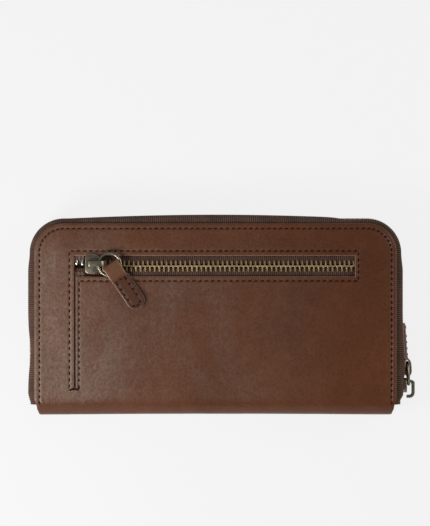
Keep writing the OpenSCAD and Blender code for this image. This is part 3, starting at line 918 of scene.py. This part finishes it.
def make_folded_end(name, side, slant):
    """The end of a pocket tape, folded back under itself beside the slider, on a slant. Its cloth is a
    paler copy of the tape: a painted highlight on the fold.
    """
    start, end = -77.5, -69.6

    def section(x):
        near = 3.0 - slant * (x - start) / (end - start)
        line = [(8.8, 0.36), (near + 1.2, 0.42), (near + 0.35, 0.34), (near, 0.1)]
        return beside_chain(line, 0.36, side)

    made = strip_along_x(name, np.linspace(start, end, 9), section, LIT_FOLD_TAPE, stretch=0.6)
    finish_piece(made, "rear_half", "zip_tape")


def make_zips():
    for level, side, slant, seed in (("lower", -1, -0.1, 4), ("upper", 1, 0.3, 3)):
        make_folded_end("pocket_tape_fold_" + level, side, slant)
        make_pocket_tape("pocket_tape_" + level, side)
        make_teeth("pocket_teeth_" + level, pocket_spots(side), "rear_half", seed)
    for half, side, seed in (("front", -1, 1), ("rear", 1, 2)):
        make_main_tape(half)
        make_teeth("main_teeth_" + half, chain_spots(side), half + "_half", seed)


make_zips()

# ---- Sliders, rings, pulls and stops ----


def prism(bm, points, z0, z1, matrix=None, bevel=0.4, segments=3):
    """Adds a prism with rounded edges to the bmesh."""
    before = set(bm.verts)
    low, high = ([bm.verts.new((x, y, z)) for x, y in points] for z in (z0, z1))
    n = len(points)
    made = [bm.faces.new(low[::-1]), bm.faces.new(high)]
    made += [bm.faces.new((low[i], low[(i + 1) % n], high[(i + 1) % n], high[i])) for i in range(n)]
    edges = {e for f in made for e in f.edges}
    bmesh.ops.recalc_face_normals(bm, faces=made)
    bmesh.ops.bevel(bm, geom=list(edges), offset=bevel, segments=segments, profile=0.6,
                    affect="EDGES", clamp_overlap=True)
    if matrix is not None:
        new = [v for v in bm.verts if v not in before]
        bmesh.ops.transform(bm, matrix=matrix, verts=new)


PLATE_L, PLATE_W, PLATE_T, PLATE_GAP = 3.9, 5.35, 1.2, 1.7
CROWN_IN, CROWN_T, CROWN_W = 5.9, 1.4, 2.8
RING_X, RING_Z, RING_R, WIRE_R = 3.3, 4.4, 5.9, 0.8


def make_slider(zip_name, matrix, mouth, neck_y, rise=0.0, extra=0.0):
    """Cast slider: two shaped plates, the neck between them and the crown that holds the ring.
    rise lifts the crown, and extra thickens the upper plate."""
    bm = bmesh.new()
    l, w = PLATE_L, PLATE_W
    side = [(-l, w - 1.9), (-l + 0.5, w - 0.7), (-l + 1.5, w), (l - 2.6, w), (l - 0.9, w - 0.9),
            (l, w - 2.3)]
    plate = [(x, -y) for x, y in side] + side[::-1]
    prism(bm, plate, PLATE_GAP, PLATE_GAP + PLATE_T + extra)
    prism(bm, plate, -PLATE_GAP - PLATE_T, -PLATE_GAP)
    neck = [(-0.85, -0.6), (0.85, -1.0), (0.85, 1.0), (-0.85, 0.6)]
    prism(bm, neck, -PLATE_GAP - 0.1, PLATE_GAP + 0.1, move(mouth * (l - 0.85), neck_y, 0),
          bevel=0.15, segments=2)
    foot, top, free = PLATE_GAP + 0.8, CROWN_IN + rise, l + 2.6
    full = 0.35  # the casting is fuller than a bent bar
    high = 1.0 + CROWN_T + full
    tip, quarter = 3.6 + rise / 2, math.pi / 2

    def bend(x, z, reach, height, start, end, count):
        """Points round part of an ellipse about (x, z)."""
        return [(x + reach * math.cos(a), z + height * math.sin(a))
                for a in np.linspace(start, end, count)]

    outer = [(-2.9, foot), (-2.9, top - 1.0), *bend(-1.4, top - 1.0, -1.5, high, 0.25, quarter, 5),
             *bend(free - 2.6, top - 1.0, 2.6 + full, high, quarter, 0, 7),
             (free - 0.05 + full, tip)]
    inner = [(-1.5, foot), (-1.5, top - 1.1), *bend(-0.5, top - 1.1, -1.0, 1.1, 0.3, quarter, 4),
             *bend(free - 2.5, top - 1.1, 1.1, 1.1, quarter, 0, 5), (free - 1.35, tip)]
    stand = move(0, CROWN_W / 2, 0) @ Matrix.Rotation(quarter, 4, "X")
    prism(bm, outer + inner[::-1], 0, CROWN_W, stand, bevel=0.22, segments=2)
    bmesh.ops.transform(bm, matrix=matrix, verts=bm.verts)
    made = from_bmesh(zip_name + "_slider_cast", bm, SLIDER)
    shade_by_angle(made, 40)
    finish_piece(made, zip_name + "_slider", "slider_metal", zip_name + "_slider")


def make_ring(name, matrix):
    """Round wire ring, slightly flattened where it has been pressed shut."""
    verts = []
    rings, sides = 72, 16
    for i in range(rings):
        a = 2 * math.pi * i / rings
        wire = WIRE_R * (1 + 0.02 * math.sin(3 * a))
        for k in range(sides):
            b = 2 * math.pi * k / sides
            r = RING_R + wire * math.cos(b)
            place = (RING_R + r * math.cos(a), r * math.sin(a), wire * math.sin(b))
            verts.append(matrix @ Vector(place))
    made = add_mesh(name + "_wire", verts, turned(band_faces(rings, sides, closed=True)), SLIDER)
    finish_piece(made, name, "slider_metal", name)


PULL_L, PULL_W, LOOP_L, PLY = 28.8, 9.2, 9.4, 1.0
TAB_SEAM_IN = 1.9
POCKET_LOW, MAIN_LOW = -2.5, -1.9  # under face of each pull
PULL_TURN = -55.8  # the pocket's pull, in degrees from its chain
MAIN_RISE, MAIN_LEAN, MAIN_RING_X = 0.7, 3.5, -0.4


def make_loop(node, matrix, low):
    """Strap folded round the ring: its under leg, the fold and the upper leg that comes down to the
    tab."""
    line = [(LOOP_L + 0.35, low + 0.5), (9.3, low + 1.15), (8.85, low + 1.2), (8.4, low + 0.6),
            (7.6, low + 0.5), (5, low + 0.5), (2.2, low + 0.52), (0.75, low + 0.95), (0.45, -0.3),
            (0.9, 0.95), (2.4, 1.55), (4.5, 1.62), (6.8, 1.55), (7.9, 1.3), (8.7, 0.75),
            (LOOP_L + 0.1, low + 2.1), (LOOP_L + 0.5, low + 1.75)]
    middle = curve_through(line, 5)
    section = list(zip(thicken(middle, PLY * 0.92), middle + middle[::-1]))
    half = PULL_W / 2
    stations, edges = [], []
    for y in (0.02 - half, 0.15 - half, 0.4 - half, *np.linspace(-3.6, 3.6, 9), half - 0.4,
              half - 0.15, half - 0.02):
        round_in = smooth((half - abs(y)) / 0.45) * 0.45 + 0.55
        points = []
        for (x, z), (mx, mz) in section:
            spread = 1 + 0.065 * smooth((4.0 - mx) / 4.0)
            points.append(matrix @ Vector((mx + (x - mx) * round_in, y * spread,
                                           mz + (z - mz) * round_in)))
        stations.append((points, y))
        edges += [1.0 - smooth((half - abs(y)) / 0.5)] * len(section)
    made = sweep(node + "_strap", stations, LOOP_LEATHER)
    for layer, values in (("cut", edges), ("wear", [0.0] * len(edges))):
        made.data.attributes.new(layer, "FLOAT", "POINT").data.foreach_set("value", values)
    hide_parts(node)
    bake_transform(made)


def tab_height(x, y):
    """Height of the tab's upper face above its flat: seam groove, swell and crown."""
    inset = tab_inset(x, y)
    h = -0.15 * bell(inset - TAB_SEAM_IN, 0.5) - 0.16 * bell(inset, 0.6)
    h += 0.07 * bell(inset - 0.9, 0.5) + 0.12 * smooth(inset / 4.0)
    return h - 0.18 * bell(x - LOOP_L - 0.9, 0.4)


def tab_inset(x, y):
    """How far inside the tab's two sides and round tip a point is."""
    centre = PULL_L - PULL_W / 2
    if x > centre:
        return PULL_W / 2 - math.hypot(x - centre, y)
    return PULL_W / 2 - abs(y)


def tab_ply(top, rim, lift):
    """Grid of one ply, from the cross seam to the round tip."""
    centre, half = PULL_L - PULL_W / 2, PULL_W / 2 - rim
    shares = [-1, -0.93, -0.85, -0.76, -0.68, -0.62, -0.56, -0.48, -0.36, -0.18, 0]
    shares += [-s for s in shares[-2::-1]]
    rows = [(LOOP_L + start, half) for start in (rim, 0.6, 0.9, 1.2)]
    rows += [(x, half) for x in np.linspace(LOOP_L + 1.8, centre, 22)]
    rows += [(centre + half * math.sin(a), half * math.cos(a))
             for a in np.linspace(0, math.pi / 2, 14)[1:]]
    verts = [(x, s * reach, top + (tab_height(x, s * reach) if lift else 0.0))
             for x, reach in rows for s in shares]
    return verts, grid_faces(len(rows), len(shares))


def make_tab(body, matrix, low):
    """Two stitched plies with pale cut edges, and the thread round them."""
    name = body + "_leather"
    for top, upper, aside in ((low + 2 * PLY, True, 0.0), (low + PLY - 0.02, False, 0.7)):
        verts, faces = tab_ply(top, 0.35, upper)
        ply = thick_sheet(name if upper else name + "_under", verts, [f[::-1] for f in faces],
                          PLY - 0.04, 0.35, TAB_LEATHER,
                          wear=lambda p: min(max(1.5 * tab_height(p.x, p.y), 0.0), 1.0),
                          transform=matrix @ move(0, aside, 0))
        finish_piece(ply, body, "leather", *([body] if upper else []))
    centre, half = PULL_L - PULL_W / 2, PULL_W / 2 - TAB_SEAM_IN
    spots = [(LOOP_L + x, side * half, 1, 0) for x in (2.3, 5.6, 8.9, 12.2) for side in (1, -1)]
    for r in (-math.radians(48), 0.0, math.radians(48)):
        spots.append((centre + half * math.cos(r), half * math.sin(r), -math.sin(r), math.cos(r)))
    spots += [(LOOP_L + 0.9, y, 0, 1) for y in (-2.4, 0.0, 2.4)]
    turn = matrix.to_3x3()
    places = [(matrix @ Vector((x, y, low + 2 * PLY + tab_height(x, y))), turn @ Vector((dx, dy, 0)),
               turn @ UP) for x, y, dx, dy in spots]
    make_stitches(name + "_stitching", places, body, "leather", 0.36, 1.75, 5, 8)


def make_stop(node, centres, turn, body):
    """Bright domed clips pressed over the tape."""
    verts, faces = [], []
    rows, columns = 13, 20
    for centre in centres:
        faces += moved(band_faces(rows, columns), len(verts))
        for lat in np.linspace(-math.pi / 2, math.pi / 2, rows):
            for c in range(columns):
                lon = 2 * math.pi * c / columns
                across, along = math.cos(lon), math.sin(lon)
                shape = Vector((math.copysign(abs(across) ** 0.8, across) * 0.85,
                                math.copysign(abs(along) ** 0.7, along) * 1.7, 0))
                p = shape * max(math.cos(lat), 0.0) ** 0.7 + UP * (1.15 * math.sin(lat))
                verts.append(Vector(centre) + turn @ p)
    made = add_mesh(node + "_bright", verts, faces, STOPS)
    edit(made, weld)
    finish_piece(made, body, "zip_stops", node)


def make_pull(zip_name, ring_at, pull_at, low):
    """Ring, strap and tab of one slider."""
    ring, tab = zip_name + "_ring", zip_name + "_tab"
    make_ring(ring, ring_at)
    make_loop(tab + "_loop", pull_at, low)
    make_tab(tab, pull_at, low)


def make_hardware():
    at = move(POCKET_SLIDER_X, POCKET_SLIDER_Y, POCKET_Z)
    make_slider("pocket", at, -1, WINDOW_Y - POCKET_SLIDER_Y)
    ring_at = at @ move(RING_X, -0.5, RING_Z)
    pull_at = ring_at @ move(RING_R, 0, 0) @ turn_z(PULL_TURN) @ move(-0.6, 0.3, 0)
    make_pull("pocket", ring_at, pull_at, POCKET_LOW)

    on_side = Matrix(((0, 0, 1), (1, 0, 0), (0, 1, 0))).to_4x4()
    at = move(CHAIN_X, MAIN_SLIDER_Y, MID_Z) @ on_side @ Matrix.Diagonal((-1, 1, 1, 1))
    make_slider("main", at, 1, 0, MAIN_RISE, 1.2)
    ring_at = (move(CHAIN_X + RING_Z + MAIN_RISE, MAIN_SLIDER_Y - MAIN_RING_X, MID_Z)
               @ turn_z(MAIN_LEAN) @ on_side)
    make_pull("main", ring_at, ring_at @ move(RING_R - 1.5, 0, 0), MAIN_LOW)

    flat, side = Matrix.Identity(3), on_side.to_3x3()
    ends = [(-74.1, WINDOW_Y + 2.0, POCKET_Z + 0.3), (-71.0, WINDOW_Y + 1.7, POCKET_Z + 0.3)]
    make_stop("pocket_end_stops", ends, flat, "rear_half")
    make_stop("pocket_bottom_stop", [(77.6, WINDOW_Y, POCKET_Z)], flat, "rear_half")
    make_stop("main_stop_front", [(CHAIN_X, MAIN_STOP_Y, MID_Z - 2)], side, "front_half")
    make_stop("main_stop_rear", [(CHAIN_X, MAIN_STOP_Y, MID_Z + 2)], side, "rear_half")
    make_stop("main_bottom_stop", [(-CHAIN_X, BOTTOM_STOP_Y, MID_Z - 2)], side, "front_half")


make_hardware()

# ---- Inside ----


def make_flat_piece(node, body, slot="lining", wave=0.06, hem=0.0, seed=0.0, seam=False, inset=None):
    """Sheet in its CAD node's place, with slow waves, a rolled top hem and a sewn line down its
    middle. inset: how far inside the panel's corners its own two round corners are centred."""
    lo, hi = box_mm(node)
    t = hi.z - lo.z
    rim = min(0.2, t / 2)
    xs = spaced(lo.x + rim, hi.x - rim, 3.0, (), (0.0,))
    ys = spaced(lo.y + rim, hi.y - rim, 3.0, (hi.y - 2.2, hi.y - 1.8, hi.y - 0.6))
    verts = []
    for y in ys:
        narrow = 1.0
        if inset is not None and y > CORNER_Y:
            r = CORNER_R - inset
            reach = CORNER_X + math.sqrt(max(r * r - (y - CORNER_Y) ** 2, 0.0))
            narrow = min(1.0, reach / hi.x)
        for x in xs:
            fade = min(x - lo.x, hi.x - x, y - lo.y, hi.y - y, 6.0) / 6.0
            h = wave * fade * (ripple(x, y, 22, seed) - 1.0) * 0.5
            h -= 0.12 * bell(x, 0.5) if seam else 0.0
            h -= hem * bell(y - (hi.y - 2.0), 0.5)
            verts.append((x * narrow, y, hi.z + h))
    cloth = slot == "lining"
    made = thick_sheet(node + ("_cloth" if cloth else "_leather"), verts, grid_faces(len(ys), len(xs)),
                       t - 0.04, rim, LINING if cloth else TAB_LEATHER)
    finish_piece(made, body, slot, node)


def make_card_pocket(half, i):
    """Card pocket with a stitched hem and a line of stitches down the part of it that shows."""
    node, body = f"{half}_card_pocket_{i}", half + "_half"
    make_flat_piece(node, body, wave=0.05, hem=0.1, seed=i, seam=True)
    lo, hi = box_mm(node)
    z, up = (hi.z, UP) if half == "front" else (lo.z, -UP)
    rows = [(Vector((x, hi.y - 2.0, z)), Vector((1, 0, 0)), up)
            for x in np.arange(lo.x + 3, hi.x - 2, 3.0)]
    foot = box_mm(f"{half}_card_pocket_{i + 1}")[1].y if i < 3 else lo.y
    rows += [(Vector((0, y, z)), Vector((0, 1, 0)), up) for y in np.arange(foot + 1.5, hi.y - 3, 3.0)]
    make_stitches(node + "_stitching", rows, body, "lining", 0.16, 1.9, 4, i)


def make_inside():
    for half in ("front", "rear"):
        for i in (1, 2, 3):
            make_card_pocket(half, i)
        make_flat_piece(half + "_lining", half + "_half", wave=0.0, inset=2.0)
        make_flat_piece("coin_wall_" + half, "spine")
        make_flat_piece("coin_trim_" + half, "spine", "leather")
    make_spine_lining()
    make_coin_parts()
    make_pocket_bag()
    for node in ("front_board", "rear_board", "spine_board"):
        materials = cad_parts[node].data.materials
        materials.clear()
        materials.append(BOARD)


def lining_bend(y, z, r, count, up):
    """Line of (y, z) round a quarter turn about a centre, and on to the middle of the spine."""
    line = [(y - r * math.sin(a), z - up * r * math.cos(a))
            for a in np.linspace(0, math.pi / 2, count)]
    return line + [(y - r, height) for height in np.linspace(z + up, MID_Z, 4)]


def make_spine_lining():
    """Lining of the bend, in two lengths that meet at the middle of the spine."""
    low, high = (box_mm(half + "_lining")[0].z + 0.15 for half in ("front", "rear"))
    bend_z = THICK - SPINE_R
    front = lining_bend(FOLD_Y, SPINE_R, SPINE_R - low, 10, 1)
    rear = [(FOLD_Y, high), *lining_bend(SPINE_Y + low + high - bend_z, bend_z, high - bend_z, 8, -1)]
    for half, line in (("front", front), ("rear", rear)):
        def section(x, line=line):
            wave = 0.10 * ripple(x, 0, 9, 4.4)
            return thicken([(y + wave * smooth(i / 4), z) for i, (y, z) in enumerate(line)], 0.28)

        made = strip_along_x(f"spine_lining_{half}_cloth", np.linspace(-93, 93, 94), section, LINING)
        if half == "front":
            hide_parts("spine_lining")
        blend_to_spine(made)


def soften(node, body, slot, material, bevel):
    """A cast piece as its CAD node gives it, with its edges rounded."""
    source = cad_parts[node]
    bm = bmesh.new()
    bm.from_mesh(source.data)
    bm.transform(source.matrix_world)
    bmesh.ops.remove_doubles(bm, verts=bm.verts, dist=1e-6)
    bmesh.ops.dissolve_limit(bm, angle_limit=0.01, verts=bm.verts, edges=bm.edges)
    sharp = [e for e in bm.edges if len(e.link_faces) == 2 and e.calc_face_angle() > 0.6]
    bmesh.ops.bevel(bm, geom=sharp, offset=bevel * MM, segments=2, profile=0.6, affect="EDGES",
                    clamp_overlap=True)
    bmesh.ops.triangulate(bm, faces=[f for f in bm.faces if len(f.verts) > 4])
    made = from_bmesh(node + "_cast", bm, material, scale=1.0)
    shade_by_angle(made, 50)
    finish_piece(made, body, slot, node)


def make_coin_parts():
    lo, hi = box_mm("coin_gusset")
    half, mid = (hi.z - lo.z) / 2, (hi.z + lo.z) / 2
    r = 2.0
    left, right, foot = lo.x + 0.2, hi.x - 0.2, lo.y + 0.2
    edge = [(0.0, y, 1.0, 0.0) for y in np.linspace(hi.y, foot + r, 24)]
    edge += [(r - r * math.cos(a), foot + r - r * math.sin(a), math.cos(a), math.sin(a))
             for a in np.linspace(0.2, math.pi / 2 - 0.2, 4)]
    path = [(left + d, y, nx, ny) for d, y, nx, ny in edge]
    path += [(x, foot, 0.0, 1.0) for x in np.linspace(left + r, right - r, 50)]
    path += [(right - d, y, -nx, ny) for d, y, nx, ny in reversed(edge)]
    line = [(-half, 0.0), (-half * 0.5, 0.5), (0.0, 0.8), (half * 0.5, 0.5), (half, 0.0)]
    section = strip_section(line, 0.3)
    stations = [([(x + nx * d, y + ny * d, mid + z) for z, d in section], float(i))
                for i, (x, y, nx, ny) in enumerate(path)]
    finish_piece(sweep("coin_gusset_cloth", stations, LINING), "spine", "lining", "coin_gusset")
    for name, side in (("front", -1), ("rear", 1)):
        node = "coin_tape_" + name
        lo, hi = box_mm(node)
        near, far = (hi.z, lo.z) if side < 0 else (lo.z, hi.z)
        out = far - side * 0.15
        line = [(lo.y + 0.1, out), (hi.y - 2.0, out), (hi.y - 0.9, out - side * 0.05),
                (hi.y - 0.3, out - side * 0.45), (hi.y - 0.15, near + side * 0.3), (hi.y - 0.15, near)]
        section = strip_section(line, 0.26)
        made = strip_along_x(node + "_cloth", np.linspace(lo.x + 0.1, hi.x - 0.1, 120),
                             lambda x, section=section: section, TAPE)
        finish_piece(made, "spine", "zip_tape", node)
        soften("coin_teeth_" + name, "spine", "zip_teeth", TEETH, 0.12)
    soften("coin_slider", "coin_slider", "slider_metal", SLIDER, 0.22)
    soften("coin_pull", "coin_pull", "slider_metal", SLIDER, 0.14)


def make_pocket_bag():
    """Two sheets of lining sewn together at their edges, the upper one open under the zip."""
    lo, hi = box_mm("pocket_bag")
    mid, deep = (lo.z + hi.z) / 2, (hi.z - lo.z) / 2
    inset, t, seam = 0.2, 0.24, 0.3
    left, right = WINDOW_X0 + 0.2, WINDOW_X1 + 2.7
    low, high = WINDOW_Y - 7, WINDOW_Y + 7.6
    xs = spaced(lo.x + inset, hi.x - inset, 4.0, (left, right), (lo.x + 1.5, hi.x - 1.5))
    ys = spaced(lo.y + inset, hi.y - inset, 4.0, (low, high), (lo.y + 1.5, hi.y - 1.5))

    def beside_zip(r, c):
        x, y = (xs[c] + xs[c + 1]) / 2, (ys[r] + ys[r + 1]) / 2
        return not (left < x < right and low < y < high)

    for name, side, keep in (("upper", 1, beside_zip), ("under", -1, None)):
        verts = []
        for y in ys:
            for x in xs:
                d = min(x - lo.x, hi.x - x, y - lo.y, hi.y - y) - inset
                z = mid + side * (seam + (deep - seam - 0.02) * smooth(d / 2.2))
                verts.append((x, y, z if side > 0 else z + t))
        made = thick_sheet(f"pocket_bag_{name}_cloth", verts, grid_faces(len(ys), len(xs), keep), t,
                           t / 2, LINING)
        finish_piece(made, "rear_half", "lining", *(["pocket_bag"] if side > 0 else []))


make_inside()

# ---- Floor and light ----


def make_stage():
    s = Shader("floor")
    s.set(Base_Color=(0.05, 0.05, 0.05), Roughness=0.9, Specular_IOR_Level=0.0,
          Emission_Color=(1.0, 1.0, 1.0), Emission_Strength=0.842)
    reach, z = 3000, -0.05
    floor = add_mesh("floor", [(-reach, -reach, z), (reach, -reach, z), (reach, reach, z),
                               (-reach, reach, z)], [(0, 1, 2, 3)], s.material)
    world = bpy.data.worlds.new("world")
    bpy.context.scene.world = world
    world.use_nodes = True
    colour, strength = world.node_tree.nodes["Background"].inputs[:2]
    colour.default_value, strength.default_value = (1, 1, 1, 1), 0.25
    add_light("key", (-290, -150, 270), 170, 2.1)
    add_light("fill", (650, 250, 360), 500, 3.15)
    add_light("rim", (-150, 650, 330), 400, 0.5)
    add_light("low", (-60, -700, 200), 450, 0.8)


def add_light(name, place, size, power):
    """Square light at a place, aimed at the origin."""
    data = bpy.data.lights.new(name, "AREA")
    data.size = size * MM
    data.energy = power
    light = new_object(name, data)
    light.location = Vector(place) * MM
    light.rotation_euler = (-light.location).to_track_quat("-Z", "Y").to_euler()


make_stage()
bpy.context.scene.view_settings.view_transform = "Standard"
